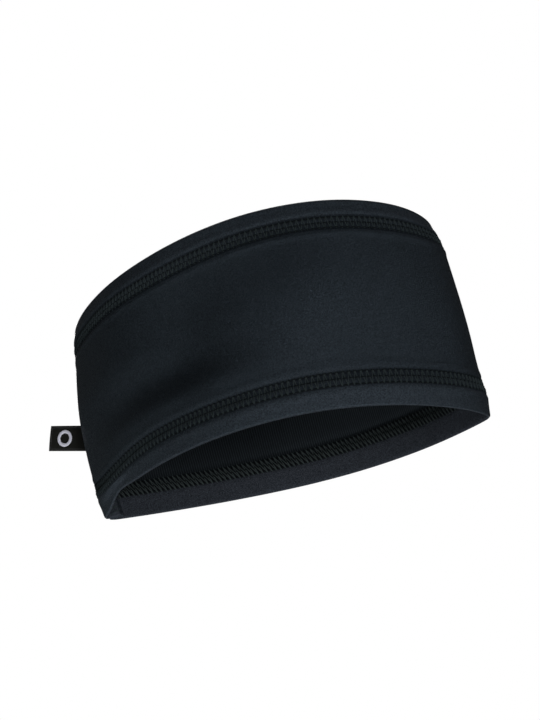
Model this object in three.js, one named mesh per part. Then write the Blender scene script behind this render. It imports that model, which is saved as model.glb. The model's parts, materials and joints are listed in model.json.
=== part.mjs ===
// Sports headband: a tube of stretch knit with a folded hem band flat-seamed to each rim,
// closed by one seam at the back that holds a small folded label.
// Millimetres. +Z is up as worn, +X is the forehead, -X the back seam.
import * as THREE from 'three';

// Driving dimensions of the worn shape
const halfLength = 95;          // forehead to back seam, half, at the bottom rim
const halfWidth = 59.4;         // side to side, half
const wallHeight = 96;
const bellyLength = 3.8;        // how much the long axis swells at mid height
const bellyBack = 2.2;          // how far that swelling leans to the back
const sideLean = -7;            // how far the top rim sits towards -Y of the bottom rim
const bottomArch = 6;           // lift of the bottom rim over the ears
const topArch = 2.4;
const archStart = 0.03;         // share of sin^2 left flat at both ends, for standing on
const tipSoftness = 0.1;        // 0 gives sharp ends, larger values rounder ones
const sides = {
  near: { sign: -1, fullness: 0.65, forward: 0.18 },
  far: { sign: 1, fullness: 0.98, forward: 0.06 },
};

// Cloth and seams
const cloth = 0.8;              // one layer of knit
const foldGap = 0.2;            // between the two leaves of a hem band
const gap = 0.3;                // between pieces that lie on one another
const rimRound = 0.7;           // height of the rounding at a folded rim
const rimFlat = 0.4;            // half the width of the flat that the band stands on
const bottomHem = 13.8;         // rim to the middle of the bottom flat seam
const bottomHemRise = 1.4;      // how much higher that seam runs on the far side
const topHem = 11.5;            // rim to the middle of the top flat seam
const bottomSeamWidth = 7;
const topSeamWidth = 6;
const thread = 0.3;             // thickness of a thread layer
const coverStep = -0.15;        // where the cover thread starts down onto the single cloth, 1 hem to -1 body
const needleInset = 0.6;        // outer needle rows, in from the edge of the cover thread
const needleWidth = 0.7;

// Back seam
const foldInside = 0.2;         // radius left inside a hem band where it turns in
const tabLength = 6;
const needleInwards = 0.5;      // needle row, clear of the curve of the wall
const backSeamMargin = 1.5;     // the threads stop this far short of both rims

// Label
const labelHeight = 13;
const labelReach = 21;          // free length along its middle
const labelCentre = 43.5;       // height of its middle above the rim
const labelSkew = THREE.MathUtils.degToRad(15);
const labelCaught = 4.2;        // length held between the turned-in ends
const tapeLeaf = 0.3;
const swingClear = 0.05;        // left between the bending tape's corner and the caught end
const emblemRadius = 4.3;
const emblemStroke = 1.7;
const emblemCentre = 11.8;      // along the label from its bending line
const emblemThickness = 0.2;

const ringSteps = 64;
const bodySteps = 6;
const emblemSteps = 20;

// Sizes that follow from the ones above
const hemHalf = cloth + foldGap / 2;
const bodyHalf = cloth / 2;
const tapeHalf = tapeLeaf + foldGap / 2;
const tabMid = Math.max(hemHalf + gap / 2, bodyHalf + gap + tapeHalf);
const foldRadius = hemHalf + foldInside;
const hingeStandoff = bodyHalf + gap + tapeHalf;
const hingeClear = tapeHalf + swingClear;

const colours = {
  body: 0x232a30,
  hem: 0x2b3137,
  needle: 0x0c0f10,
  cover: 0x1e2220,
  tape: 0x0a0c0d,
  emblem: 0xd6d8e2,
};

const headband = new THREE.Group();

function sideAt(angle) {
  return Math.sin(angle) < 0 ? sides.near : sides.far;
}

// A point of the cloth's middle: angle runs round the ring, height is millimetres above the rim.
function wallPoint(angle, height) {
  const up = height / wallHeight;
  const cos = Math.cos(angle);
  const sin = Math.sin(angle);
  const side = sideAt(angle);
  const belly = 4 * up * (1 - up);
  const soft = ((sin * sin + tipSoftness) / (1 + tipSoftness)) ** (side.fullness - 0.5);
  const arch = Math.max(0, sin * sin - archStart) / (1 - archStart);
  return new THREE.Vector3(
    (halfLength + bellyLength * belly) * cos - bellyBack * belly,
    halfWidth * sin * soft * (1 + side.forward * cos) + sideLean * up,
    height + arch * THREE.MathUtils.lerp(bottomArch, topArch, up),
  );
}

// The level direction that faces out of the wall.
function wallNormal(angle, height) {
  const step = 0.002;
  const ahead = wallPoint(angle + step, height);
  const behind = wallPoint(angle - step, height);
  const along = ahead.sub(behind);
  return new THREE.Vector3(along.y, -along.x, 0).normalize();
}

// Centre of the small fold that turns the cloth in from the wall at this angle.
function foldCentre(angle, height) {
  return wallPoint(angle, height).addScaledVector(wallNormal(angle, height), -foldRadius);
}

// Angle from the back seam at which the fold has to start so that its turned-in end lies at tabMid.
function tipAngle(side) {
  const height = wallHeight / 2;
  const seam = wallPoint(Math.PI, height);
  let low = 0;
  let high = 0.5;
  for (let i = 0; i < 30; i += 1) {
    const tried = (low + high) / 2;
    const across = foldCentre(side.sign * (Math.PI - tried), height).y - seam.y;
    if (Math.abs(across) < tabMid + foldRadius) {
      low = tried;
    } else {
      high = tried;
    }
  }
  return low;
}

const startAngle = -Math.PI + tipAngle(sides.near);
const endAngle = Math.PI - tipAngle(sides.far);

// A station is a place along the strip of cloth: it gives a point and an outward direction at each height.
function ringStation(angle) {
  return {
    angle,
    at: (height) => ({ point: wallPoint(angle, height), normal: wallNormal(angle, height) }),
  };
}

// The cloth turns in at the back seam round a small fold: turn goes from 0 to 1 along it.
function foldStation(angle, turn) {
  const side = sideAt(angle);
  return {
    angle,
    at: (height) => {
      const start = wallNormal(angle, height);
      const finish = new THREE.Vector3(0, -side.sign, 0);
      const sweep = side.sign * start.angleTo(finish) * turn;
      const normal = start.applyAxisAngle(new THREE.Vector3(0, 0, 1), sweep);
      const point = foldCentre(angle, height).addScaledVector(normal, foldRadius);
      return { point, normal };
    },
  };
}

// The back seam's plane: inwards runs from the cloth's middle at the seam towards the forehead.
function backPoint(inwards, across, height) {
  const point = wallPoint(Math.PI, height);
  return point.add(new THREE.Vector3(inwards, across, 0));
}

// The raw edge of the turned-in end.
function rawEdgeStation(angle) {
  const side = sideAt(angle);
  return {
    angle,
    at: (height) => ({
      point: backPoint(foldRadius + tabLength, side.sign * tabMid, height),
      normal: new THREE.Vector3(0, -side.sign, 0),
    }),
  };
}

function ringStations(first, last) {
  const stations = [];
  for (let i = first; i <= last; i += 1) {
    stations.push(ringStation(THREE.MathUtils.lerp(startAngle, endAngle, i / ringSteps)));
  }
  return stations;
}

const outsideStations = ringStations(0, ringSteps);
const insideStations = ringStations(1, ringSteps - 1);
const clothStations = [
  rawEdgeStation(startAngle),
  foldStation(startAngle, 1),
  foldStation(startAngle, 0.5),
  ...outsideStations,
  foldStation(endAngle, 0.5),
  foldStation(endAngle, 1),
  rawEdgeStation(endAngle),
];

// A closed solid through a row of matching outlines, capped at both ends.
function solidThrough(sections, endCap = flatCap) {
  const count = sections[0].length;
  const positions = sections.flat().flatMap((point) => point.toArray());
  const index = [];
  for (let i = 0; i < sections.length - 1; i += 1) {
    for (let j = 0; j < count; j += 1) {
      const a = i * count + j;
      const b = i * count + ((j + 1) % count);
      index.push(a, b, b + count, a, b + count, a + count);
    }
  }
  const last = (sections.length - 1) * count;
  for (const [a, b, c] of endCap(sections[0])) {
    index.push(a, c, b, last + a, last + b, last + c);
  }
  const geometry = new THREE.BufferGeometry();
  geometry.setAttribute('position', new THREE.Float32BufferAttribute(positions, 3));
  geometry.setIndex(index);
  if (signedVolume(geometry) < 0) {
    geometry.index.array.reverse();
  }
  geometry.computeVertexNormals();
  return geometry;
}

// Triangles across a flat outline, worked out in its own plane.
function flatCap(outline) {
  const normal = new THREE.Vector3();
  outline.forEach((point, i) => {
    const next = outline[(i + 1) % outline.length];
    normal.add(new THREE.Vector3().crossVectors(point, next));
  });
  normal.normalize();
  const turn = new THREE.Quaternion().setFromUnitVectors(normal, new THREE.Vector3(0, 0, 1));
  const flat = outline.map((point) => {
    const turned = point.clone().applyQuaternion(turn);
    return new THREE.Vector2(turned.x, turned.y);
  });
  return THREE.ShapeUtils.triangulateShape(flat, []);
}

// Triangles across a thin bowed outline whose second half runs back beside its first.
function ladderCap(outline) {
  const last = outline.length - 1;
  const rungs = outline.length / 2 - 1;
  return Array.from({ length: rungs }, (_, i) => [
    [i, i + 1, last - i - 1],
    [i, last - i - 1, last - i],
  ]).flat();
}

function signedVolume(geometry) {
  const position = geometry.attributes.position;
  const corners = [0, 1, 2].map(() => new THREE.Vector3());
  let volume = 0;
  for (let i = 0; i < geometry.index.count; i += 3) {
    corners.forEach((corner, k) => corner.fromBufferAttribute(position, geometry.index.getX(i + k)));
    volume += corners[0].dot(corners[1].clone().cross(corners[2]));
  }
  return volume / 6;
}

// A strip round the ring: outline(angle) lists [distance out of the cloth's middle, height] pairs.
function strip(stations, outline, endCap = flatCap) {
  const sections = stations.map((station) => outline(station.angle).map(([out, height]) => {
    const { point, normal } = station.at(height);
    return point.addScaledVector(normal, out);
  }));
  return solidThrough(sections, endCap);
}

function addPiece(name, geometry, color, roughness = 0.9) {
  const material = new THREE.MeshStandardMaterial({ color, roughness, metalness: 0 });
  const mesh = new THREE.Mesh(geometry, material);
  mesh.name = name;
  headband.add(mesh);
}

// The two flat seams: middle is the seam's height, hemSide points from the seam to its own rim.
const flatSeams = {
  top: { width: topSeamWidth, hemSide: 1, middle: () => wallHeight - topHem },
  bottom: {
    width: bottomSeamWidth,
    hemSide: -1,
    middle: (angle) => bottomHem + bottomHemRise * Math.sin(angle),
  },
};

function bodyPanel() {
  const outline = (angle) => {
    const low = flatSeams.bottom.middle(angle) + gap / 2;
    const high = flatSeams.top.middle(angle) - gap / 2;
    const heights = Array.from({ length: bodySteps + 1 }, (_, i) => (
      THREE.MathUtils.lerp(low, high, i / bodySteps)));
    const outer = heights.map((height) => [bodyHalf, height]);
    const inner = heights.map((height) => [-bodyHalf, height]);
    return [...outer, ...inner.reverse()];
  };
  addPiece('body_panel', strip(clothStations, outline, ladderCap), colours.body);
}

// A band folded double over the rim, its two raw edges at the flat seam.
function hemBand(name, seam) {
  const rim = seam.hemSide > 0 ? wallHeight : 0;
  const inRim = (distance) => rim - seam.hemSide * distance;
  const outline = (angle) => {
    const edge = seam.middle(angle) + seam.hemSide * gap / 2;
    return [
      [hemHalf, edge],
      [hemHalf, inRim(rimRound)],
      [rimFlat, inRim(0)],
      [-rimFlat, inRim(0)],
      [-hemHalf, inRim(rimRound)],
      [-hemHalf, edge],
      [-foldGap / 2, edge],
      [-foldGap / 2, inRim(cloth)],
      [foldGap / 2, inRim(cloth)],
      [foldGap / 2, edge],
    ];
  };
  addPiece(`${name}_hem_band`, strip(clothStations, outline), colours.hem);
}

// How far from the cloth's middle a cover thread lies; share runs from 1 at the hem to -1 at the body.
function coverBase(share) {
  const onHem = hemHalf + gap;
  const onBody = bodyHalf + gap;
  return share > coverStep ? onHem : THREE.MathUtils.mapLinear(share, -1, coverStep, onBody, onHem);
}

// The thread layer laid across a flat seam: face is +1 outside the band and -1 inside.
function coverThread(name, seam, face, stations) {
  const outline = (angle) => {
    const edge = (share, layer) => [
      face * (coverBase(share) + layer),
      seam.middle(angle) + seam.hemSide * share * seam.width / 2,
    ];
    return [
      edge(1, 0),
      edge(coverStep, 0),
      edge(-1, 0),
      edge(-1, thread),
      edge(coverStep, thread),
      edge(1, thread),
    ];
  };
  addPiece(name, strip(stations, outline), colours.cover);
}

// One needle thread's row along the outside of a flat seam, on the cover thread.
function needleThread(name, seam, share) {
  const place = share * (seam.width / 2 - needleInset);
  const base = coverBase((place + needleWidth / 2) / (seam.width / 2)) + thread + gap;
  const outline = (angle) => {
    const height = seam.middle(angle) + seam.hemSide * place;
    return [
      [base, height - needleWidth / 2],
      [base + thread, height],
      [base, height + needleWidth / 2],
    ];
  };
  addPiece(name, strip(outsideStations, outline), colours.needle);
}

function flatSeam(name, seam) {
  coverThread(`${name}_seam_outer_cover_thread`, seam, 1, outsideStations);
  coverThread(`${name}_seam_inner_looper_thread`, seam, -1, insideStations);
  needleThread(`${name}_seam_hem_needle_thread`, seam, 1);
  needleThread(`${name}_seam_middle_needle_thread`, seam, 0);
  needleThread(`${name}_seam_body_needle_thread`, seam, -1);
}

// A strip up the back seam; the outline lists [inwards, across] pairs.
function backStrip(outline) {
  const sections = Array.from({ length: bodySteps + 1 }, (_, i) => {
    const height = THREE.MathUtils.lerp(backSeamMargin, wallHeight - backSeamMargin, i / bodySteps);
    return outline.map(([inwards, across]) => backPoint(inwards, across, height));
  });
  return solidThrough(sections);
}

// Overlock threads on the turned-in ends: one needle row and two loopers that meet at the raw edge.
function backSeamThreads() {
  const face = tabMid + hemHalf + gap;
  const edge = foldRadius + tabLength + gap;
  const needleStart = hemHalf + gap + needleInwards;
  const looperStart = needleStart + needleWidth + gap;
  const needle = [
    [needleStart, -face],
    [needleStart + needleWidth, -face],
    [needleStart + needleWidth, -face - thread],
    [needleStart, -face - thread],
  ];
  const upper = [
    [looperStart, -face],
    [edge + thread, -face],
    [edge + thread, -face - thread],
    [looperStart, -face - thread],
  ];
  const lower = [
    [looperStart, face],
    [edge, face],
    [edge, -face + gap],
    [edge + thread, -face + gap],
    [edge + thread, face + thread],
    [looperStart, face + thread],
  ];
  addPiece('back_seam_needle_thread', backStrip(needle), colours.needle);
  addPiece('back_seam_upper_looper_thread', backStrip(upper), colours.cover);
  addPiece('back_seam_lower_looper_thread', backStrip(lower), colours.cover);
}

// The label bends along a line that follows the back seam just outside it.
const hingePoint = backPoint(-hingeStandoff, 0, labelCentre);
const hingeAxis = backPoint(0, 0, labelCentre + 1).sub(backPoint(0, 0, labelCentre - 1)).normalize();
const labelAlong = new THREE.Vector3(-Math.cos(labelSkew), 0, 0);
labelAlong.addScaledVector(hingeAxis, Math.sin(labelSkew));
const labelFace = new THREE.Vector3().crossVectors(hingeAxis, labelAlong).normalize();

function labelPoint(along, raised, upSeam) {
  return hingePoint.clone()
    .addScaledVector(labelAlong, along)
    .addScaledVector(labelFace, raised)
    .addScaledVector(hingeAxis, upSeam);
}

// Sections of a tape at its lower and upper edge; the outline lists [along, raised] pairs for each.
function tape(outline) {
  const halfSeam = labelHeight / 2 / Math.cos(labelSkew);
  const sections = [-halfSeam, halfSeam].map((upSeam) => (
    outline(upSeam * Math.sin(labelSkew)).map(([along, raised]) => labelPoint(along, raised, upSeam))));
  return solidThrough(sections);
}

// The free part: two leaves joined by the fold at the far end. ahead squares that end to the tape.
function labelLoop() {
  const outline = (ahead) => {
    const end = labelReach - ahead;
    return [
      [0, tapeHalf],
      [end - tapeHalf, tapeHalf],
      [end, 0],
      [end - tapeHalf, -tapeHalf],
      [0, -tapeHalf],
      [0, -foldGap / 2],
      [end - tapeLeaf - foldGap, -foldGap / 2],
      [end - tapeLeaf - foldGap, foldGap / 2],
      [0, foldGap / 2],
    ];
  };
  addPiece('label_loop', tape(outline), colours.tape, 0.75);
}

// The ends caught between the turned-in edges of the back seam.
function labelTail() {
  const halfSeam = labelHeight / 2;
  const sections = [-halfSeam, halfSeam].map((up) => {
    const height = labelCentre - labelCaught * Math.sin(labelSkew) / 2 + up;
    return [
      [-hingeStandoff + hingeClear, tapeHalf],
      [labelCaught, tapeHalf],
      [labelCaught, -tapeHalf],
      [-hingeStandoff + hingeClear, -tapeHalf],
    ].map(([inwards, across]) => backPoint(inwards, across, height));
  });
  addPiece('label_tail', solidThrough(sections), colours.tape, 0.75);
}

// A plain ring woven on the side that faces -Y.
function labelEmblem() {
  const ring = new THREE.Shape().absarc(0, 0, emblemRadius, 0, 2 * Math.PI);
  ring.holes.push(new THREE.Path().absarc(0, 0, emblemRadius - emblemStroke, 0, 2 * Math.PI, true));
  const geometry = new THREE.ExtrudeGeometry(ring, {
    depth: emblemThickness,
    bevelEnabled: false,
    curveSegments: emblemSteps,
  });
  const outwards = labelFace.y < 0 ? 1 : -1;
  const facing = labelFace.clone().multiplyScalar(outwards);
  const across = new THREE.Vector3().crossVectors(facing, labelAlong).normalize();
  const frame = new THREE.Matrix4().makeBasis(labelAlong, across, facing);
  frame.setPosition(labelPoint(emblemCentre, outwards * (tapeHalf + gap), 0));
  geometry.applyMatrix4(frame);
  addPiece('label_emblem', geometry, colours.emblem, 0.7);
}

bodyPanel();
hemBand('top', flatSeams.top);
hemBand('bottom', flatSeams.bottom);
flatSeam('top', flatSeams.top);
flatSeam('bottom', flatSeams.bottom);
backSeamThreads();
labelLoop();
labelTail();
labelEmblem();

// The origin is the middle of the bounding box, at the height of the bottom rim.
const bounds = new THREE.Box3().setFromObject(headband);
const middle = bounds.getCenter(new THREE.Vector3());
headband.position.set(-middle.x, -middle.y, -bounds.min.z);
headband.userData.labelHinge = {
  point: hingePoint.clone().add(headband.position).toArray(),
  axis: hingeAxis.toArray(),
};

export default headband;
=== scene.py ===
import bpy
import bmesh
import json
from bisect import bisect
from math import asin, ceil, cos, exp, pi, radians, sin, tau
from mathutils import Matrix, Vector


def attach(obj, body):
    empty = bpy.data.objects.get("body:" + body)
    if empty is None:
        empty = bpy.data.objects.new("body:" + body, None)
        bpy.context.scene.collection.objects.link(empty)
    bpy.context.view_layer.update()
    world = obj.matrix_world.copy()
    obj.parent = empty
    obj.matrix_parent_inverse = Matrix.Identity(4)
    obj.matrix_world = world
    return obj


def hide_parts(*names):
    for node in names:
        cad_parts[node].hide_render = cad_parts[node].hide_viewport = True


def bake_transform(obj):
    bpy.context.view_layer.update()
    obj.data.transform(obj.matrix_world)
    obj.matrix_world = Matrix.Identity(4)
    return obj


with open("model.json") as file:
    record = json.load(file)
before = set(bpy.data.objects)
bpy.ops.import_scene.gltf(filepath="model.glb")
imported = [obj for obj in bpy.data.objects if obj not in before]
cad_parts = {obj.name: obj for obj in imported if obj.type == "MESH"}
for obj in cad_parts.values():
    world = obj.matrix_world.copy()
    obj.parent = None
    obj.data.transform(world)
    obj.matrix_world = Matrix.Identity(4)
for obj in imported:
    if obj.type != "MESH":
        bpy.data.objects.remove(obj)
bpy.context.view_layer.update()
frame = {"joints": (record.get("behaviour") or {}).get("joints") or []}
print("frame loaded")

# all lengths are in metres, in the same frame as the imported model


def blendOf(low, high, part):
    return low + (high - low) * part


def easing(low, high, value):
    part = min(1, max(0, (value - low) / (high - low)))
    return part * part * (3 - 2 * part)


def hump(value, middle, reach):
    return exp(-((value - middle) / reach) ** 2)


ring = {
    "halfLength": 0.095,        # to the middle of the cloth, front to back
    "halfWidth": 0.0594,
    "height": 0.096,            # rim to rim
    "bellyLength": 0.0038,
    "bellyBack": 0.0022,
    "sideLean": -0.007,
    "bottomArch": 0.006,        # how far the sides lift off the floor
    "topArch": 0.0024,
    "archStart": 0.03,
    "tipSoftness": 0.1,
    "nearFullness": 0.65,
    "nearForward": 0.18,
    "farFullness": 0.98,
    "farForward": 0.06,
    "nearEnd": -pi + 0.0588,    # angles where the wall starts to turn into the back seam
    "farEnd": pi - 0.1140,
}

cloth = {
    "bodyHalf": 0.0004,         # half of one thickness
    "hemHalf": 0.0009,          # half of the folded hem
    "leaf": 0.0005,             # middle of the band to the middle of one leaf
    "turnDepth": 0.0019,
    "tabLength": 0.0058,
    "tabBody": 0.00058,         # seam plane to the middle of a turned-in end
    "tabHem": 0.0011,
    "tabLabel": 0.00098,
}

labelCentre = 0.0435            # height of the label on the back seam

joint = frame["joints"][0]
hinge = Vector(joint["pos_m"])
hingeAxis = Vector(joint["axis"]).normalized()
hingeUp = labelCentre / ring["height"]
hingeOut = 0.0011               # how far the bending line stands out from the middle of the cloth
hingeBelly = (ring["bellyLength"] + ring["bellyBack"]) * 4 * hingeUp * (1 - hingeUp)
shift = Vector((
    hinge.x + hingeOut + ring["halfLength"] + hingeBelly,
    hinge.y - ring["sideLean"] * hingeUp,
    0,
))


trim = {
    "hemAngle": -2.53,          # where the lower hem narrows, by the back seam on the near side
    "hemReach": 0.36,
    "seamDrop": 0.0040,
    "rimAngle": -2.50,          # where the rim below it lifts
    "rimReach": 0.20,
    "rimLift": 0.0022,
    "rimInAngle": -2.70,        # where it rolls in
    "rimInReach": 0.35,
    "rimIn": 0.0026,
    "frontTopIn": 0.0026,       # the upper hem pulls in over the forehead
    "frontTopDown": 0.0010,
    "frontLowOut": 0.0013,
    "backIn": 0.0006,
    "backEndsOut": 0.0008,
}


def trimmed(angle, height):
    back = easing(-3.12, -2.80, angle)
    low = easing(0, 0.012, height) * (1 - easing(0.016, 0.046, height))
    hemHere = hump(angle, trim["hemAngle"], trim["hemReach"]) * back
    liftHere = hump(angle, trim["rimAngle"], trim["rimReach"]) * back
    rollHere = hump(angle, trim["rimInAngle"], trim["rimInReach"]) * back
    rise = -trim["seamDrop"] * low * hemHere
    rise += trim["rimLift"] * (1 - easing(0.001, 0.010, height)) * liftHere
    top = easing(0.078, 0.096, height)
    bottom = 1 - easing(0.004, 0.030, height)
    up = height / ring["height"]
    belly = 4 * up * (1 - up)
    front = hump(angle, 0, 0.42)
    rear = hump(abs(angle), pi, 0.35)
    along = -trim["frontTopIn"] * top * front + trim["frontLowOut"] * bottom * front
    along += trim["rimIn"] * (1 - easing(0, 0.013, height)) * rollHere
    along += rear * (trim["backIn"] * belly - trim["backEndsOut"] * (1 - belly))
    return Vector((along, 0, rise - trim["frontTopDown"] * top * front))


def wallPoint(angle, height):
    up = height / ring["height"]
    belly = 4 * up * (1 - up)
    near = sin(angle) < 0
    fullness = ring["nearFullness"] if near else ring["farFullness"]
    forward = ring["nearForward"] if near else ring["farForward"]
    side = sin(angle) ** 2
    soft = ((side + ring["tipSoftness"]) / (1 + ring["tipSoftness"])) ** (fullness - 0.5)
    arch = max(0, side - ring["archStart"]) / (1 - ring["archStart"])
    return shift + trimmed(angle, height) + Vector((
        (ring["halfLength"] + ring["bellyLength"] * belly) * cos(angle) - ring["bellyBack"] * belly,
        ring["halfWidth"] * sin(angle) * soft * (1 + forward * cos(angle)) + ring["sideLean"] * up,
        height + arch * blendOf(ring["bottomArch"], ring["topArch"], up),
    ))


def angleAt(travel):
    return blendOf(ring["nearEnd"], ring["farEnd"], min(1, max(0, travel)))


bottomSeam = {
    "height": 0.0138,
    "rise": 0.0014,
    "half": 0.0035,
    "hemSide": -1,
}

topSeam = {
    "height": 0.0845,
    "rise": 0,
    "half": 0.0030,
    "hemSide": 1,
}

stitches = {
    "pitch": 0.0025,
    "needleInset": 0.0006,
    "groove": 0.00030,
    "grooveWidth": 0.00042,
    "swell": 0.00036,           # the cloth puckers up beside a seam
    "swellAt": 0.0020,          # beyond the edge of the stitching
    "swellReach": 0.0015,
}


def seamHeight(seam, travel):
    ends = 1 if 0 <= travel <= 1 else 0
    return seam["height"] + seam["rise"] * sin(angleAt(travel)) * ends


def tabMiddle(height):
    hems = max(1 - easing(0.0142, 0.0180, height), easing(0.0800, 0.0840, height))
    label = 1 - easing(0.0070, 0.0105, abs(height - labelCentre))
    return (
        cloth["tabBody"]
        + (cloth["tabHem"] - cloth["tabBody"]) * hems
        + (cloth["tabLabel"] - cloth["tabBody"]) * label
    )


# travel 0 to 1 goes round the wall from the near side of the back seam to the far side,
# one more either way is the turn into the seam, and one more again is the turned-in end
def clothMiddle(travel, height):
    if 0 <= travel <= 1:
        return wallPoint(angleAt(travel), height)
    side = -1 if travel < 0 else 1
    beyond = -travel if travel < 0 else travel - 1
    start = ring["nearEnd"] if side < 0 else ring["farEnd"]
    corner = wallPoint(start, height)
    tip = wallPoint(pi, height)
    turned = Vector((tip.x + cloth["turnDepth"], tip.y + side * tabMiddle(height), corner.z))
    if beyond >= 1:
        return turned + Vector((cloth["tabLength"] * (beyond - 1), 0, 0))
    heading = (corner - wallPoint(start - side * 0.002, height)).normalized()
    first = corner + heading * 0.0009
    second = turned - Vector((0.0010, 0, 0))
    rest = 1 - beyond
    return (
        corner * rest ** 3
        + first * 3 * rest ** 2 * beyond
        + second * 3 * rest * beyond ** 2
        + turned * beyond ** 3
    )


def clothNormal(travel, height):
    step = 0.0004 if 0 <= travel <= 1 else 0.03
    along = clothMiddle(min(3, travel + step), height) - clothMiddle(max(-2, travel - step), height)
    return Vector((along.y, -along.x, 0)).normalized()


# each soft fold: angle and height of its crest, its reach both ways, and how far it stands out
folds = [
    (-1.95, 0.0240, 0.50, 0.0068, 0.0016),      # low fold on the near side, by the label
    (-1.90, 0.0390, 0.50, 0.0095, -0.0015),
    (-2.25, 0.0520, 0.45, 0.0100, 0.0010),
    (-1.10, 0.0500, 0.30, 0.0290, 0.0050),      # soft upright fold over the temple
    (-1.76, 0.0540, 0.29, 0.0260, -0.0048),
    (-0.25, 0.0520, 0.22, 0.0300, 0.0008),
    (0.04, 0.0500, 0.18, 0.0310, 0.0007),
    (1.20, 0.0420, 0.40, 0.0220, -0.0018),      # far side
    (1.90, 0.0560, 0.35, 0.0240, 0.0014),
    (2.55, 0.0300, 0.30, 0.0160, -0.0012),
]
ripple = 0.00030


def relief(travel, height):
    if not 0 < travel < 1:
        return 0
    angle = angleAt(travel)
    up = height / ring["height"]
    calm = easing(0, 0.025, travel) * (1 - easing(0.975, 1, travel))
    shape = sum(
        rise * hump(angle, turn, reach) * hump(height, level, tall)
        for turn, level, reach, tall, rise in folds
    )
    waves = sin(9 * angle + 3 * up) * 0.6 + sin(15 * angle - 5 * up + 1.2) * 0.3 + sin(5 * angle + 7 * up)
    return calm * (shape + ripple * waves * (0.25 + 3 * up * (1 - up)))


def clothPoint(travel, height, lift):
    return clothMiddle(travel, height) + clothNormal(travel, height) * (lift + relief(travel, height))


# depth of the needle grooves and height of the pucker, toward is positive on the body's side
def sewnShape(seam, toward):
    inset = seam["half"] - stitches["needleInset"]
    rows = sum(hump(toward, row, stitches["grooveWidth"]) for row in (-inset, 0, inset))
    swell = hump(abs(toward) - seam["half"], stitches["swellAt"], stitches["swellReach"])
    return stitches["groove"] * rows, stitches["swell"] * swell


# heights of the two faces of the cloth near a flat seam
def outerFace(seam, toward):
    step = blendOf(cloth["hemHalf"], cloth["bodyHalf"], easing(-0.0010, 0.0012, toward))
    groove, swell = sewnShape(seam, toward)
    return step - groove + swell


def innerFace(seam, toward):
    step = blendOf(cloth["hemHalf"], cloth["bodyHalf"], easing(-0.0002, 0.0012, toward))
    groove, swell = sewnShape(seam, toward)
    return -step + 0.6 * groove - 0.5 * swell


wallColumns = 300
turnColumns = 10
tabColumns = 5
columns = [-2 + i / tabColumns for i in range(tabColumns)]
columns += [-1 + i / turnColumns for i in range(turnColumns)]
columns += [i / wallColumns for i in range(wallColumns)]
columns += [1 + i / turnColumns for i in range(turnColumns)]
columns += [2 + i / tabColumns for i in range(tabColumns + 1)]

finerStops = []                 # for measuring lengths along the cloth
for first, second in zip(columns, columns[1:]):
    finerStops += [blendOf(first, second, i / 4) for i in range(4)]
finerStops.append(columns[-1])


def measureRun(heightAt):
    run = {"travel": [], "length": []}
    before = None
    length = 0
    for travel in finerStops:
        point = clothMiddle(travel, heightAt(travel))
        if before is not None:
            length += (point - before).length
        before = point
        run["travel"].append(travel)
        run["length"].append(length)
    return run


def travelAt(run, length):
    length = min(run["length"][-1], max(0, length))
    i = min(len(run["length"]) - 1, max(1, bisect(run["length"], length)))
    low, high = run["length"][i - 1], run["length"][i]
    return blendOf(run["travel"][i - 1], run["travel"][i], (length - low) / (high - low))


def lengthAt(run, travel):
    i = min(len(run["travel"]) - 1, max(1, bisect(run["travel"], travel)))
    low, high = run["travel"][i - 1], run["travel"][i]
    return blendOf(run["length"][i - 1], run["length"][i], (travel - low) / (high - low))


seamEnds = (-1.75, 2.75)        # the flat seams run on into the turned-in ends
for seam in (bottomSeam, topSeam):
    seam["run"] = measureRun(lambda travel: seamHeight(seam, travel))
    seam["start"] = lengthAt(seam["run"], seamEnds[0])
    seam["end"] = lengthAt(seam["run"], seamEnds[1])
    seam["pitches"] = round((seam["end"] - seam["start"]) / stitches["pitch"])


# signed distance from a flat seam in mm, and how many stitches along it
def sewnAt(seam, travel, height):
    fromSeam = (height - seamHeight(seam, travel)) * -seam["hemSide"] * 1000
    along = lengthAt(seam["run"], travel) - seam["start"]
    return fromSeam, along / (seam["end"] - seam["start"]) * seam["pitches"]


middleRun = measureRun(lambda travel: ring["height"] / 2)
columnLength = {travel: lengthAt(middleRun, travel) for travel in columns}
print("cloth path measured:", round(middleRun["length"][-1], 4), "m")

sheetUv = 2                     # UV units to a metre of cloth
labelUv = 10


class Wire:
    # a socket that sums can be written with
    def __init__(self, net, socket):
        self.net = net
        self.socket = socket

    def math(self, operation, *others):
        return self.net.node("ShaderNodeMath", {"operation": operation}, dict(enumerate((self, *others))))

    def __add__(self, other):
        return self.math("ADD", other)

    def __radd__(self, other):
        return self.math("ADD", other)

    def __mul__(self, other):
        return self.math("MULTIPLY", other)

    def __rmul__(self, other):
        return self.math("MULTIPLY", other)

    def __sub__(self, other):
        return self.math("SUBTRACT", other)

    def __rsub__(self, other):
        return self.net.node("ShaderNodeMath", {"operation": "SUBTRACT"}, {0: other, 1: self})

    def __truediv__(self, other):
        return self.math("DIVIDE", other)

    def __rtruediv__(self, other):
        return self.net.node("ShaderNodeMath", {"operation": "DIVIDE"}, {0: other, 1: self})


class Net:
    def __init__(self, tree):
        self.tree = tree

    def node(self, kind, settings=None, inputs=None, output=0):
        made = self.tree.nodes.new(kind)
        for key, value in (settings or {}).items():
            if key == "stops":
                ramp = made.color_ramp
                while len(ramp.elements) < len(value):
                    ramp.elements.new(0.5)
                for element, (place, colour) in zip(ramp.elements, value):
                    element.position = place
                    element.color = colour
            else:
                setattr(made, key, value)
        for key, value in (inputs or {}).items():
            socket = made.inputs[key]
            if isinstance(value, Wire):
                self.tree.links.new(value.socket, socket)
            else:
                socket.default_value = value
        return Wire(self, made.outputs[output])


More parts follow.
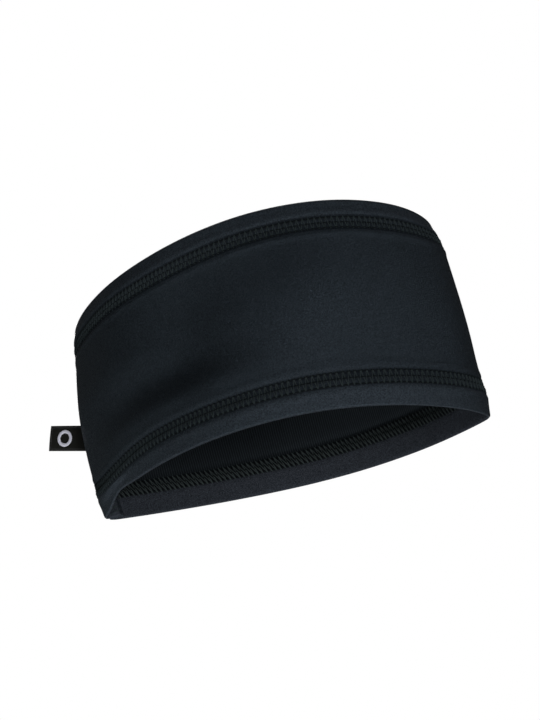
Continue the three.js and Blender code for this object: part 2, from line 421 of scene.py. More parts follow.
class Finish(Net):
    def __init__(self, name, **fixed):
        self.material = bpy.data.materials.new(name)
        self.material.use_nodes = True
        super().__init__(self.material.node_tree)
        self.shader = self.tree.nodes["Principled BSDF"]
        for socket, value in fixed.items():
            self.shader.inputs[socket].default_value = value

    def wave(self, value, period):
        return (value * (tau / period)).math("SINE")

    def mix(self, factor, first, second):
        return self.node("ShaderNodeMix", {"data_type": "RGBA"}, {0: factor, 6: first, 7: second}, 2)

    # the colour times a tone of 0 to 2
    def dye(self, tone, colour):
        return self.mix(tone * 0.5, shadeOf(colour, 0), shadeOf(colour, 2))

    def place(self):
        return self.node("ShaderNodeTexCoord", None, None, "Object")

    def weave(self, name="weave"):
        uv = self.node("ShaderNodeUVMap", {"uv_map": name})
        first = self.node("ShaderNodeSeparateXYZ", None, {0: uv})
        return first, Wire(self, first.socket.node.outputs[1])

    def weaveInMm(self, unitsPerMetre):
        across, up = self.weave()
        return across * (1000 / unitsPerMetre), up * (1000 / unitsPerMetre)

    def carried(self, name):
        return self.node("ShaderNodeAttribute", {"attribute_name": name}, None, "Fac")

    def near(self, value, middle, reach):
        part = (value - middle) * (1 / reach)
        return (part * part * -1).math("EXPONENT")

    def noise(self, scale, detail=2.0, rough=0.5):
        return self.node("ShaderNodeTexNoise", None, {
            "Vector": self.place(), "Scale": scale, "Detail": detail, "Roughness": rough,
        })

    def wear(self, socket, value):
        self.tree.links.new(value.socket, self.shader.inputs[socket])

    def bump(self, height, distance):
        self.wear("Normal", self.node("ShaderNodeBump", None, {
            "Height": height, "Distance": distance, "Strength": 1.0,
        }))


def shadeOf(colour, factor):
    return (colour[0] * factor, colour[1] * factor, colour[2] * factor, 1)


knit = {
    "body": (0.0075, 0.0097, 0.0120),
    "bodyInside": (0.0138, 0.0172, 0.0200),
    "hem": (0.0132, 0.0165, 0.0204),
    "hemInside": (0.0270, 0.0308, 0.0380),
    "gloss": 0.40,
    "insideGloss": 0.08,
    "roughness": 0.45,
    "twill": 1.5,
    "gleam": (0.62, 0.80, 1.00, 1),
    "waleOutside": 0.62,        # mm, as are the next six
    "course": 0.52,
    "waleInside": 1.25,
    "hemWale": 0.58,
    "hemCourse": 0.50,
    "seamHalf": 3.25,           # half the shaded strip, between the halves of the two seams
    "seamRow": 2.70,            # outer needle rows, from the middle
    # how strong the painted shade under the stitching is: outside, body inside, hem inside
    "seamShade": 0.68,
    "insideShade": 0.50,
    "hemShade": 0.80,
    "holeAt": 0.76,             # part of a stitch
}


# painted shade: the cloth is made darker under the stitching, along the needle rows and the seam edges, and
# darkest at a hole where each needle stitch goes down
def paintedSeamShade(finish, shade):
    away = finish.carried("fromSeam").math("ABSOLUTE")
    count = finish.carried("stitchCount").math("FRACT")
    zone = 1 / (1 + ((away - knit["seamHalf"]) * 6).math("EXPONENT"))
    row = finish.near(away, 0, 0.42).math("MAXIMUM", finish.near(away, knit["seamRow"], 0.42))
    hole = row * finish.near(count, knit["holeAt"], 0.20)
    edge = finish.near(away, knit["seamHalf"] + 0.10, 0.50)
    # painted shade factor: 1 on open cloth, lower in the seam strip, on the needle rows, at the needle holes
    # and along the seam edges
    ground = (1 - zone * shade) * (1 - row * 0.65) * (1 - hole * 0.90) * (1 - edge * 0.60)
    return ground, hole


# fabric knitted in little v shaped loops, with fine yarn noise
def knitFinish(name, colour, wale, course, depth, contrast, gloss, shade, grain=3.4):
    finish = Finish(name, **{"Specular IOR Level": gloss, "Specular Tint": knit["gleam"]})
    across, up = finish.weaveInMm(sheetUv)
    column = (across / wale).math("FRACT")
    leg = ((column - 0.5) * 2).math("ABSOLUTE")
    loops = finish.wave(up + leg * (course * 0.6), course) * 0.5 + 0.5
    rib = (leg * pi).math("SINE")
    stitch = loops * 0.6 + rib * 0.55
    yarn = finish.noise(2600, 2, 0.6)
    heather = finish.noise(1300, 2, 0.6)
    patch = finish.noise(34, 2, 0.5)
    diagonal = finish.wave(across + up * 1.1, knit["twill"]) * 0.5 + 0.5
    tone = 1 + (stitch - 0.55) * contrast + (yarn - 0.5) * 2.6 + (heather - 0.5) * grain
    tone = tone + (patch - 0.5) * 0.16 + (diagonal - 0.5) * 0.14
    # the base colour is multiplied by the painted shade under the flat seams
    ground, holes = paintedSeamShade(finish, shade)
    finish.wear("Base Color", finish.dye(tone * ground, colour))
    finish.wear("Roughness", knit["roughness"] - (heather - 0.5) * 0.6 + (1 - ground) * 0.50)
    finish.bump(stitch + (yarn - 0.5) * 0.9 + (heather - 0.5) * 1.6 - holes * 3, depth)
    return finish.material


def insideFinish():
    sheen = {"Specular IOR Level": knit["insideGloss"], "Specular Tint": knit["gleam"]}
    finish = Finish("body knit, inside", **sheen)
    across, up = finish.weaveInMm(sheetUv)
    wobble = finish.noise(260, 2, 0.5) - 0.5
    rib = finish.wave(across + wobble * 0.35, knit["waleInside"]) * 0.5 + 0.5
    course = finish.wave(up, 0.55) * 0.5 + 0.5
    yarn = finish.noise(2400, 2, 0.6)
    heather = finish.noise(420, 3, 0.6)
    # the base colour is multiplied by the painted shade under the flat seams
    ground, holes = paintedSeamShade(finish, knit["insideShade"])
    tone = 0.42 + rib * 1.10 + (yarn - 0.5) * 0.6 + (heather - 0.5) * 0.35 + (course - 0.5) * 0.10
    finish.wear("Base Color", finish.dye(tone * ground, knit["bodyInside"]))
    finish.wear("Roughness", 0.88 - (yarn - 0.5) * 0.2)
    finish.bump(rib + course * 0.25 + (yarn - 0.5) * 0.7 - holes * 2, 0.00012)
    return finish.material


threadColours = {
    "cover": (0.0260, 0.0340, 0.0355),
    "looper": (0.0420, 0.0530, 0.0520),
    "needle": (0.0036, 0.0048, 0.0048),
}


def threadFinish(name, colour, twists):
    finish = Finish(name, **{"Specular IOR Level": 0.10, "Specular Tint": knit["gleam"]})
    along, around = finish.weave("UVMap")
    strand = finish.wave(along * twists + around * 2, 1) * 0.5 + 0.5
    fuzz = finish.noise(5200, 2, 0.6)
    tone = 0.70 + strand * 0.5 + (fuzz - 0.5) * 0.6
    finish.wear("Base Color", finish.dye(tone, colour))
    finish.wear("Roughness", 0.72 + (fuzz - 0.5) * 0.2)
    finish.bump(strand + (fuzz - 0.5) * 0.4, 0.00004)
    return finish.material


bodyOutside = knitFinish(
    "body knit, outside", knit["body"], knit["waleOutside"], knit["course"],
    0.00010, 0.30, knit["gloss"], knit["seamShade"],
)
bodyInside = insideFinish()
hemKnit = knitFinish(
    "hem knit", knit["hem"], knit["hemWale"], knit["hemCourse"],
    0.00009, 0.26, knit["gloss"], knit["seamShade"],
)
hemInside = knitFinish(
    "hem knit, inside", knit["hemInside"], knit["hemWale"], knit["hemCourse"],
    0.00009, 0.26, knit["insideGloss"], knit["hemShade"], 1.6,
)
coverYarn = threadFinish("cover thread", threadColours["cover"], 4200)
looperYarn = threadFinish("looper thread", threadColours["looper"], 4200)
needleYarn = threadFinish("needle thread", threadColours["needle"], 3200)
print("fabric finishes made")


def layGrid(name, across, up, place, spread, finishes, thickness, innerFinish=0, sewn=None, finishOf=None):
    sheet = bmesh.new()
    bmesh.ops.create_grid(sheet, x_segments=len(across) - 1, y_segments=len(up) - 1, size=1)
    weave = sheet.loops.layers.uv.new("weave")
    if sewn:
        fromSeam = sheet.verts.layers.float.new("fromSeam")
        stitchCount = sheet.verts.layers.float.new("stitchCount")
    cells = {}
    for point in sheet.verts:
        column = across[round((point.co.x + 1) / 2 * (len(across) - 1))]
        row = up[round((point.co.y + 1) / 2 * (len(up) - 1))]
        cells[point] = (column, row)
    for point, (column, row) in cells.items():
        point.co = place(column, row)
    if sewn:
        for point, (column, row) in cells.items():
            point[fromSeam], point[stitchCount] = sewn(column, row)
    for face in sheet.faces:
        face.smooth = True
        if finishOf:
            face.material_index = min(finishOf(cells[point][1]) for point in face.verts)
        for corner in face.loops:
            corner[weave].uv = spread(*cells[corner.vert])
    mesh = bpy.data.meshes.new(name)
    sheet.to_mesh(mesh)
    sheet.free()
    for finish in finishes:
        mesh.materials.append(finish)
    piece = bpy.data.objects.new(name, mesh)
    bpy.context.scene.collection.objects.link(piece)
    thick = piece.modifiers.new("thickness", "SOLIDIFY")
    thick.thickness = thickness
    thick.offset = 0
    thick.use_even_offset = False
    thick.material_offset = innerFinish
    thick.material_offset_rim = 0
    return piece


body = {
    "gap": 0.00012,             # between its cut edge and the hem's
    "steps": [                  # rows of points, finer by the seam
        0, 0.0004, 0.0008, 0.0012, 0.0017, 0.0021, 0.0025, 0.0029,
        0.0033, 0.0038, 0.0044, 0.0050, 0.0057, 0.0066, 0.0080,
    ],
    "middle": 34,               # rows in the rest of it
}
bodyRows = [("low", step) for step in body["steps"]]
bodyRows += [("middle", i / body["middle"]) for i in range(1, body["middle"])]
bodyRows += [("high", step) for step in reversed(body["steps"])]


def bodyHeight(travel, row):
    low = seamHeight(bottomSeam, travel) + body["gap"]
    high = seamHeight(topSeam, travel) - body["gap"]
    where, amount = row
    if where == "low":
        return low + amount
    if where == "high":
        return high - amount
    return blendOf(low + body["steps"][-1], high - body["steps"][-1], amount)


def bodyPlace(travel, row):
    height = bodyHeight(travel, row)
    lift = 0
    for seam in (bottomSeam, topSeam):
        toward = (height - seamHeight(seam, travel)) * -seam["hemSide"]
        lift += outerFace(seam, toward) - cloth["bodyHalf"]
    return clothPoint(travel, height, lift)


def bodySewn(travel, row):
    height = bodyHeight(travel, row)
    seam = bottomSeam if height < ring["height"] / 2 else topSeam
    return sewnAt(seam, travel, height)


bodyPanel = layGrid(
    "bodyPanel", columns, bodyRows, bodyPlace,
    lambda travel, row: (columnLength[travel] * sheetUv, bodyHeight(travel, row) * sheetUv),
    [bodyOutside, bodyInside], 2 * cloth["bodyHalf"], 1, bodySewn,
)
print("body panel laid out")


hem = {
    "gap": 0.00012,
    "steps": [0, 0.0005, 0.0010, 0.0016, 0.0021, 0.0025, 0.0029, 0.0033, 0.0038, 0.0045, 0.0054, 0.0065],
    "fractions": [0.35, 0.70],
    "turns": 6,
    "plump": 0.00016,           # how far the middle of the hem swells out
    "uvRim": 0.03,              # where the rim lies across the unfolded strip's UV
    "innerTurn": 0.6,           # part of the rim's turn that has the inside's finish
}


def hemRows():
    leafDown = [("step", step) for step in hem["steps"]]
    leafDown += [("part", part) for part in hem["fractions"]]
    rows = [("inner", *row) for row in leafDown]
    rows += [("rim", "turn", i / hem["turns"]) for i in range(hem["turns"] + 1)]
    rows += [("outer", *row) for row in reversed(leafDown)]
    return rows


def hemSpot(seam, travel, row):
    leaf, kind, amount = row
    middle = seamHeight(seam, travel)
    full = middle if seam["hemSide"] < 0 else ring["height"] - middle
    curl = cloth["bodyHalf"] + cloth["leaf"]
    if leaf == "rim":
        turn = pi * amount
        fromRim = curl - cloth["leaf"] * sin(turn)
        return fromRim, -cloth["leaf"] * cos(turn), full - fromRim
    down = hem["gap"] + amount
    if kind == "part":
        down = blendOf(hem["gap"] + hem["steps"][-1], full - curl, amount)
    down = min(down, full - curl)
    if leaf == "inner":
        lift = innerFace(seam, -down) + cloth["bodyHalf"]
    else:
        lift = outerFace(seam, -down) - cloth["bodyHalf"]
        lift += hem["plump"] * hump(down, 0.55 * full, 0.25 * full)
    return full - down, lift, down


def hemHeight(seam, travel, row):
    fromRim = hemSpot(seam, travel, row)[0]
    return fromRim if seam["hemSide"] < 0 else ring["height"] - fromRim


def hemPlace(seam):
    def place(travel, row):
        lift = hemSpot(seam, travel, row)[1]
        return clothPoint(travel, hemHeight(seam, travel, row), lift)
    return place


def hemSpread(seam):
    def spread(travel, row):
        fromRim = hemSpot(seam, travel, row)[0]
        side = -1 if row[0] == "inner" else 1
        return columnLength[travel] * sheetUv, (hem["uvRim"] + side * fromRim) * sheetUv
    return spread


def hemSewn(seam):
    def sewn(travel, row):
        return sewnAt(seam, travel, hemHeight(seam, travel, row))
    return sewn


# 1 for the leaf on the inside, which has a finish of its own
def hemLeaf(row):
    return 1 if row[0] == "inner" or row[0] == "rim" and row[2] < hem["innerTurn"] else 0


bottomHemBand = layGrid(
    "bottomHemBand", columns, hemRows(), hemPlace(bottomSeam), hemSpread(bottomSeam),
    [hemKnit, hemInside], 2 * cloth["bodyHalf"], 0, hemSewn(bottomSeam), hemLeaf,
)
topHemBand = layGrid(
    "topHemBand", columns, list(reversed(hemRows())), hemPlace(topSeam), hemSpread(topSeam),
    [hemKnit, hemInside], 2 * cloth["bodyHalf"], 0, hemSewn(topSeam), hemLeaf,
)
print("hems folded")


def layThread(name, runs, width, finish):
    line = bpy.data.curves.new(name, "CURVE")
    line.dimensions = "3D"
    line.bevel_depth = width / 2
    line.bevel_resolution = 1
    line.use_fill_caps = True
    for points in runs:
        spline = line.splines.new("POLY")
        spline.points.add(len(points) - 1)
        for spot, point in zip(spline.points, points):
            spot.co = (*point, 1)
    rough = bpy.data.objects.new(name + "Line", line)
    bpy.context.scene.collection.objects.link(rough)
    shown = rough.evaluated_get(bpy.context.evaluated_depsgraph_get())
    mesh = bpy.data.meshes.new_from_object(shown)
    mesh.name = name
    bpy.data.objects.remove(rough)
    mesh.materials.clear()
    mesh.materials.append(finish)
    for face in mesh.polygons:
        face.use_smooth = True
    piece = bpy.data.objects.new(name, mesh)
    bpy.context.scene.collection.objects.link(piece)
    return piece


threads = {
    "coverWidth": 0.00047,
    "looperWidth": 0.00050,
    "looperExtra": 0.0004,      # how far it reaches past the stitching
    "looperSharpness": 0.985,
    "looperSteps": 16,
    "needleWidth": 0.00050,
    "sharpness": 0.97,          # of the zigzag's corners
    "coverSteps": 12,
    "dash": 0.60,               # part of a pitch that a stitch lies on the surface
}


def stitchLength(seam):
    return (seam["end"] - seam["start"]) / seam["pitches"]


def zigzag(phase, sharpness):
    return asin(sharpness * sin(tau * phase)) / asin(sharpness)


def seamPoint(seam, run, length, toward, lift):
    travel = travelAt(run, length)
    height = seamHeight(seam, travel) - seam["hemSide"] * toward
    return clothPoint(travel, height, lift)


def coverPath(seam, run):
    first = ceil((lengthAt(run, -0.55) - seam["start"]) / stitchLength(seam))
    last = int((lengthAt(run, 1.55) - seam["start"]) / stitchLength(seam))
    points = []
    for i in range((last - first) * threads["coverSteps"] + 1):
        phase = first + i / threads["coverSteps"]
        length = seam["start"] + phase * stitchLength(seam)
        toward = (seam["half"] - 0.0002) * zigzag(phase, threads["sharpness"])
        lift = outerFace(seam, toward) + 0.30 * threads["coverWidth"]
        points.append(seamPoint(seam, run, length, toward, lift))
    return points


# the looper runs a pitch and a half forward and half a pitch back, which leaves slanting bars
def looperPath(seam, run):
    start, end, pitches = seam["start"], seam["end"], seam["pitches"]
    points = []
    for i in range(pitches * threads["looperSteps"] + 1):
        phase = i / threads["looperSteps"]
        across = zigzag(phase - 0.25, threads["looperSharpness"])
        slant = 0.75 * across
        length = start + (end - start) * phase / pitches + slant * stitches["pitch"]
        length = min(end, max(start, length))
        toward = (seam["half"] + threads["looperExtra"]) * across
        lift = innerFace(seam, toward) - 0.30 * threads["looperWidth"]
        if sin(tau * (phase - 0.25) + pi / 2) < 0:
            lift -= 0.00006
        points.append(seamPoint(seam, run, length, toward, lift))
    return points


def needlePath(seam, run, toward):
    start, end, pitches = seam["start"], seam["end"], seam["pitches"]
    over = outerFace(seam, toward) + 0.75 * threads["coverWidth"]
    under = innerFace(seam, toward) - 0.95 * threads["looperWidth"]
    dash = threads["dash"]
    stops = [
        (0.00, over - 0.00050), (0.06, over - 0.00012), (0.16, over), (0.5 * dash, over + 0.00003),
        (dash - 0.16, over), (dash - 0.06, over - 0.00012), (dash, over - 0.00050),
        (dash + 0.05, under + 0.00030), (dash + 0.12, under),
        (dash + 0.24, under), (dash + 0.31, under + 0.00030),
    ]
    points = []
    for i in range(pitches):
        for part, lift in stops:
            length = blendOf(start, end, (i + part) / pitches)
            points.append(seamPoint(seam, run, length, toward, lift))
    return points


def sewSeam(name, seam):
    run = seam["run"]
    inset = seam["half"] - stitches["needleInset"]
    cover = coverPath(seam, run)
    looper = looperPath(seam, run)
    made = {
        "Cover": layThread(name + "CoverThread", [cover], threads["coverWidth"], coverYarn),
        "Looper": layThread(name + "LooperThread", [looper], threads["looperWidth"], looperYarn),
    }
    for row, toward in (("Hem", -inset), ("Middle", 0), ("Body", inset)):
        made[row] = layThread(
            name + row + "Needle", [needlePath(seam, run, toward)], threads["needleWidth"], needleYarn
        )
    return made


bottomThreads = sewSeam("bottom", bottomSeam)
topThreads = sewSeam("top", topSeam)
print("flat seams sewn")


backSeam = {
    "margin": 0.0015,           # the threads stop this far short of both rims
    "needleIn": 0.0006,         # needle row, in from the end of the turn
    "pitch": 0.0022,
    "width": 0.00042,
    "needleWidth": 0.00034,
    "looperStops": [            # part of a stitch, where it is, how far towards the raw edge
        (0.00, "face", 0), (0.22, "face", 0.35), (0.40, "face", 0.75), (0.47, "face", 0.98),
        (0.50, "edge", 1), (0.53, "face", 0.98), (0.60, "face", 0.75), (0.78, "face", 0.35),
    ],
    "needleStops": [            # part of a stitch, which face, how far off it
        (0.02, 1, -0.0003), (0.12, 1, 0.0002), (0.35, 1, 0.00026), (0.56, 1, 0.0002),
        (0.64, 1, -0.0003), (0.70, -1, 0.0000), (0.80, -1, 0.0003), (0.92, -1, 0.0000),
    ],
}


def tabFace(height):
    hems = max(1 - easing(0.0132, 0.0146, height), easing(0.0838, 0.0852, height))
    return tabMiddle(height) + blendOf(cloth["bodyHalf"], cloth["hemHalf"], hems)


def backPoint(inwards, across, height):
    tip = wallPoint(pi, height)
    return Vector((tip.x + cloth["turnDepth"] + inwards, tip.y + across, tip.z))


def overlockPath(side):
    low = backSeam["margin"]
    high = ring["height"] - backSeam["margin"]
    pitches = round((high - low) / backSeam["pitch"])
    half = backSeam["width"] / 2
    edge = cloth["tabLength"]
    points = []
    for i in range(pitches):
        for part, where, reach in backSeam["looperStops"]:
            height = low + (high - low) * (i + part) / pitches
            face = tabFace(height) + 0.6 * half
            if where == "edge":
                points.append(backPoint(edge + half, side * 0.3 * face, height))
            else:
                points.append(backPoint(blendOf(backSeam["needleIn"], edge, reach), side * face, height))
    return points


def backNeedlePath():
    low = backSeam["margin"]
    high = ring["height"] - backSeam["margin"]
    pitches = round((high - low) / backSeam["pitch"])
    points = []
    for i in range(pitches):
        for part, side, out in backSeam["needleStops"]:
            height = low + (high - low) * (i + part) / pitches
            points.append(backPoint(backSeam["needleIn"], side * (tabFace(height) + out), height))
    return points


backUpperLooper = layThread("backUpperLooper", [overlockPath(-1)], backSeam["width"], coverYarn)
backLowerLooper = layThread("backLowerLooper", [overlockPath(1)], backSeam["width"], coverYarn)
backNeedle = layThread("backNeedle", [backNeedlePath()], backSeam["needleWidth"], needleYarn)
print("back seam overlocked")


label = {
    "width": 0.0130,
    "caught": 0.0053,           # from the bending line to its end inside the seam
    "reach": 0.0208,            # from the bending line to the fold at its free end
    "skew": radians(15),
    "leaf": 0.0002,             # middle of the tape to the middle of one leaf
    "thickness": 0.0003,
    "bow": 0.0007,              # how far the free end curves
    "columns": 48,
    "rows": 16,
    "turns": 6,
    "turnStep": 0.0001,         # UV length of one step round the fold
    "colour": (0.0150, 0.0155, 0.0138),
    "border": (0.0900, 0.0950, 0.1000),
}
labelAlong = Vector((-cos(label["skew"]), 0, 0)) + hingeAxis * sin(label["skew"])
labelAlong.normalize()
labelFace = hingeAxis.cross(labelAlong).normalized()
labelUp = labelAlong.cross(labelFace).normalized()


def labelBend(along, up):
    outward = max(0, along) / label["reach"]
    return label["bow"] * (outward ** 2) * (0.35 + 0.65 * (up / (0.5 * label["width"])) ** 2) * -0.6


def labelPoint(along, raised, up):
    lift = raised + labelBend(along, up)
    return hinge + labelAlong * along + labelFace * lift + labelUp * up


# distance from the bending line, which leaf, and length along the tape
labelStops = []
labelFold = label["reach"] - label["leaf"]
labelLength = label["reach"] + label["caught"] - label["leaf"]
turnLength = label["turnStep"] * label["turns"]
for i in range(label["columns"] + 1):
    part = i / label["columns"]
    labelStops.append((blendOf(-label["caught"], labelFold, part), -1, part * labelLength))
for i in range(1, label["turns"]):
    turn = pi * i / label["turns"]
    along = labelFold + label["leaf"] * sin(turn)
    labelStops.append((along, -cos(turn), labelLength + label["turnStep"] * i))
for i in range(label["columns"] + 1):
    part = i / label["columns"]
    labelStops.append((blendOf(labelFold, -label["caught"], part), 1, labelLength * (1 + part) + turnLength))
labelRows = [blendOf(-0.5, 0.5, i / label["rows"]) * label["width"] for i in range(label["rows"] + 1)]


def labelFinish():
    finish = Finish("label tape", **{"Specular IOR Level": 0.05})
    along, up = finish.weaveInMm(labelUv)
    warp = finish.wave(along, 0.34) * 0.5 + 0.5
    weft = finish.wave(up, 0.30) * 0.5 + 0.5
    fuzz = finish.noise(4200, 2, 0.6)
    half = 500 * label["width"]
    edge = half - (up - half).math("ABSOLUTE")
    fold = (along - 1000 * (labelLength + turnLength / 2)).math("ABSOLUTE")
    sideLine = ((edge - 1.0).math("ABSOLUTE")).math("LESS_THAN", 0.14) * fold.math("GREATER_THAN", 1.0)
    endLine = ((fold - 1.1).math("ABSOLUTE")).math("LESS_THAN", 0.14) * edge.math("GREATER_THAN", 0.9)
    line = sideLine.math("MAXIMUM", endLine) * (0.55 + weft * 0.45)
    tone = 0.75 + warp * 0.2 + weft * 0.2 + (fuzz - 0.5) * 0.6
    dyed = finish.dye(tone, label["colour"])
    finish.wear("Base Color", finish.mix(line * 0.55, dyed, (*label["border"], 1)))
    finish.wear("Roughness", 0.55 + (fuzz - 0.5) * 0.25)
    finish.bump(warp * 0.5 + weft * 0.5 + line * 0.5, 0.00005)
    return finish.material


foldedLabel = layGrid(
    "foldedLabel", labelStops, labelRows,
    lambda stop, up: labelPoint(stop[0], stop[1] * label["leaf"], up),
    lambda stop, up: (stop[2] * labelUv, (up + 0.5 * label["width"]) * labelUv),
    [labelFinish()], label["thickness"],
)
print("label folded")


emblem = {
    "radius": 0.0043,
    "stroke": 0.0017,
    "centre": 0.0118,
    "height": 0.00020,
    "sunk": 0.00002,            # its base, into the tape
    "steps": 72,
    "colour": (0.82, 0.83, 0.95),
}


def emblemFinish():
    finish = Finish("emblem thread", **{"Specular IOR Level": 0.3})
    around, across = finish.weave()
    rib = finish.wave(around, 1 / 60) * 0.5 + 0.5
    fuzz = finish.noise(5200, 2, 0.6)
    tone = 0.72 + rib * 0.22 + (fuzz - 0.5) * 0.3
    finish.wear("Base Color", finish.mix(tone, shadeOf(emblem["colour"], 0), shadeOf(emblem["colour"], 1)))
    finish.wear("Roughness", 0.6 + (fuzz - 0.5) * 0.2)
    finish.bump(rib, 0.00006)
    return finish.material


def makeEmblem():
    outwards = 1 if labelFace.y < 0 else -1
    facing = labelFace * outwards
    loop = bmesh.new()
    section = [(-0.5, 0), (-0.46, 0.6), (-0.3, 0.95), (0, 1.05), (0.3, 0.95), (0.46, 0.6), (0.5, 0)]
    middle = emblem["radius"] - emblem["stroke"] / 2
    points = [
        loop.verts.new((middle + part * emblem["stroke"], 0, rise * emblem["height"]))
        for part, rise in section
    ]
    edges = [loop.edges.new(pair) for pair in zip(points, points[1:] + points[:1])]
    bmesh.ops.spin(
        loop, geom=points + edges, cent=(0, 0, 0), axis=(0, 0, 1), dvec=(0, 0, 0),
        angle=tau, steps=emblem["steps"], use_merge=True, use_duplicate=False,
    )
    bmesh.ops.remove_doubles(loop, verts=loop.verts, dist=1e-7)
    bmesh.ops.recalc_face_normals(loop, faces=loop.faces)
    weave = loop.loops.layers.uv.new("weave")
    for face in loop.faces:
        face.smooth = True
        centre = face.calc_center_median()
        base = Vector((centre.x, centre.y)).angle_signed(Vector((1, 0))) / tau
        for corner in face.loops:
            spot = corner.vert.co
            turn = Vector((spot.x, spot.y)).angle_signed(Vector((1, 0))) / tau
            turn += round(base - turn)
            across = (Vector((spot.x, spot.y)).length - middle) / emblem["stroke"]
            corner[weave].uv = (turn + 0.5, across + 0.5)
    side = labelUp.cross(facing)
    stand = Matrix((
        (side.x, labelUp.x, facing.x), (side.y, labelUp.y, facing.y), (side.z, labelUp.z, facing.z),
    )).to_4x4()
    face = outwards * (label["leaf"] + label["thickness"] / 2)
    bmesh.ops.transform(loop, matrix=stand, verts=loop.verts)
    for point in loop.verts:
        along = point.co.dot(labelAlong) + emblem["centre"]
        up = point.co.dot(labelUp)
        rise = point.co.dot(labelFace)
        point.co = labelPoint(along, face + rise - outwards * emblem["sunk"], up)
    mesh = bpy.data.meshes.new("emblemRing")
    loop.to_mesh(mesh)
    loop.free()
    mesh.materials.append(emblemFinish())
    piece = bpy.data.objects.new("emblemRing", mesh)
    bpy.context.scene.collection.objects.link(piece)
    return piece


emblemRing = makeEmblem()
print("emblem woven")


for piece, node, slotName in (
    (bodyPanel, "body_panel", "body_knit"),
    (bottomHemBand, "bottom_hem_band", "hem_knit"),
    (topHemBand, "top_hem_band", "hem_knit"),
    (backUpperLooper, "back_seam_upper_looper_thread", "cover_thread"),
    (backLowerLooper, "back_seam_lower_looper_thread", "cover_thread"),
    (backNeedle, "back_seam_needle_thread", "needle_thread"),
    *((made[part], side + "_seam_" + node, slot)
      for side, made in (("bottom", bottomThreads), ("top", topThreads))
      for part, node, slot in (
          ("Cover", "outer_cover_thread", "cover_thread"),
          ("Looper", "inner_looper_thread", "cover_thread"),
          ("Hem", "hem_needle_thread", "needle_thread"),
          ("Middle", "middle_needle_thread", "needle_thread"),
          ("Body", "body_needle_thread", "needle_thread"),
      )),
):
    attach(piece, "band")
    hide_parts(node)

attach(emblemRing, "label")
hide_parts("label_emblem")
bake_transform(foldedLabel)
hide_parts("label_tail", "label_loop")

print("pieces tied to their bodies")


stage = {
    "floorSize": 1.6,
    "floorDrop": 0.0004,
    "floorColour": (0.82, 0.82, 0.82, 1),
    "worldStrength": 0.04,
    "backgroundStrength": 1.0,
    "lightAim": (0, 0, 0.05),
}


def makeFloor():
    ground = bmesh.new()
    bmesh.ops.create_grid(ground, x_segments=1, y_segments=1, size=stage["floorSize"])
    bmesh.ops.translate(ground, verts=ground.verts, vec=(0, 0, -stage["floorDrop"]))
    mesh = bpy.data.meshes.new("floor")
    ground.to_mesh(mesh)
    ground.free()
    finish = Finish("floor", Roughness=0.9)
    finish.shader.inputs["Base Color"].default_value = stage["floorColour"]
    behind = finish.node("ShaderNodeNewGeometry", None, None, "Backfacing")
    clear = finish.node("ShaderNodeBsdfTransparent")
    solid = Wire(finish, finish.shader.outputs[0])
    either = finish.node("ShaderNodeMixShader", None, {0: behind, 1: solid, 2: clear})
    finish.tree.links.new(either.socket, finish.tree.nodes["Material Output"].inputs["Surface"])
    mesh.materials.append(finish.material)
    floor = bpy.data.objects.new("floor", mesh)
    bpy.context.scene.collection.objects.link(floor)
    floor.visible_shadow = False    # the low lights shine through it
    floor.visible_diffuse = False
    floor.visible_glossy = False


makeFloor()

world = bpy.data.worlds.new("studio")
bpy.context.scene.world = world
world.use_nodes = True
sky = Net(world.node_tree)
backing = sky.tree.nodes["Background"]
backing.inputs["Color"].default_value = (1, 1, 1, 1)
backing.inputs["Strength"].default_value = stage["worldStrength"]
seen = sky.node("ShaderNodeBackground", None, {
    "Color": (1, 1, 1, 1), "Strength": stage["backgroundStrength"],
})
rays = sky.node("ShaderNodeLightPath", None, None, "Is Camera Ray")
either = sky.node("ShaderNodeMixShader", None, {0: rays, 1: Wire(sky, backing.outputs[0]), 2: seen})
sky.tree.links.new(either.socket, sky.tree.nodes["World Output"].inputs[0])


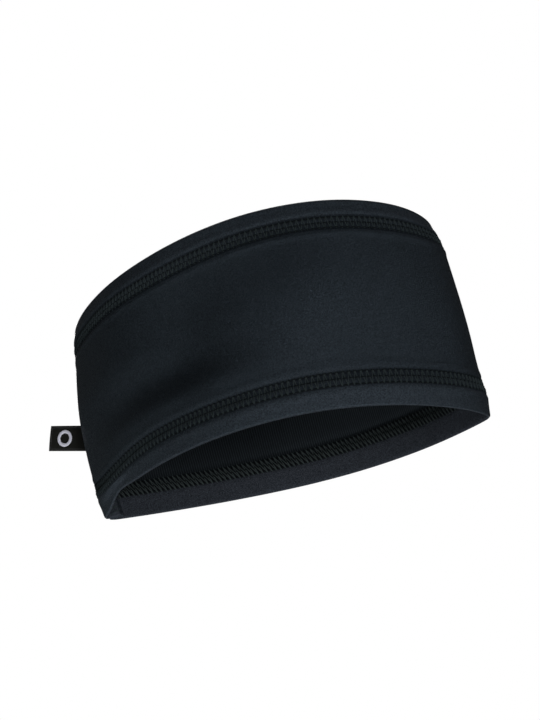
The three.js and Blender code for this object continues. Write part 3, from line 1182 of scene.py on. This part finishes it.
def softLight(name, place, size, power, tint=(1, 1, 1)):
    lamp = bpy.data.lights.new(name, "AREA")
    lamp.shape = "DISK"
    lamp.size = size
    lamp.energy = power
    lamp.color = tint
    light = bpy.data.objects.new(name, lamp)
    bpy.context.scene.collection.objects.link(light)
    light.location = place
    light.rotation_mode = "QUATERNION"
    light.rotation_quaternion = (Vector(stage["lightAim"]) - Vector(place)).to_track_quat("-Z", "Y")


# each light's name, place, size and watts, and a tint if it has one
for lamp in (
    ("keyLight", (0.65, -0.68, -0.33), 0.45, 1.4),
    ("frontLight", (0.60, -0.76, -0.14), 0.26, 4.3),
    ("lowLight", (-0.24, -0.22, -0.92), 0.4, 7.2),
    ("rightFill", (0.92, -0.25, 0.0), 0.5, 0.2),
    ("leftFill", (-1.0, -0.10, 0.0), 0.5, 0.45, (0.80, 0.95, 1.0)),
    ("backFill", (-0.35, 0.85, 0.45), 0.6, 12.0),
    ("topLight", (-0.25, 0.35, 1.1), 0.7, 6.0),
):
    softLight(*lamp)
print("stage lit")

bpy.context.scene.view_settings.view_transform = "Standard"

view = {
    "target": Vector((0, 0, 0.048)) + shift,
    "distance": 0.500,
    "turn": radians(-18.181),   # of the object, about the upright
    "tilt": radians(19.855),    # the camera looks up
    "roll": radians(10.407),
    "lens": 51.7,
    "shiftX": 0.000465,
    "shiftY": 0.022774,
}


def makeCamera():
    tilt, roll = view["tilt"], view["roll"]
    level = Vector((1, 0, 0))
    rising = Vector((0, -sin(tilt), cos(tilt)))
    ahead = Vector((0, cos(tilt), sin(tilt)))
    right = level * cos(roll) - rising * sin(roll)
    upward = level * sin(roll) + rising * cos(roll)
    back = Matrix.Rotation(-view["turn"], 3, "Z")
    axes = [back @ right, back @ upward, back @ -ahead]
    stand = Matrix((
        (axes[0].x, axes[1].x, axes[2].x),
        (axes[0].y, axes[1].y, axes[2].y),
        (axes[0].z, axes[1].z, axes[2].z),
    ))
    lens = bpy.data.cameras.new("camera")
    lens.lens = view["lens"]
    lens.sensor_width = 36
    lens.shift_x = view["shiftX"]
    lens.shift_y = view["shiftY"]
    lens.clip_start = 0.01
    camera = bpy.data.objects.new("camera", lens)
    bpy.context.scene.collection.objects.link(camera)
    camera.rotation_mode = "QUATERNION"
    camera.rotation_quaternion = stand.to_quaternion()
    camera.location = view["target"] + axes[2] * view["distance"]
    bpy.context.scene.camera = camera


makeCamera()
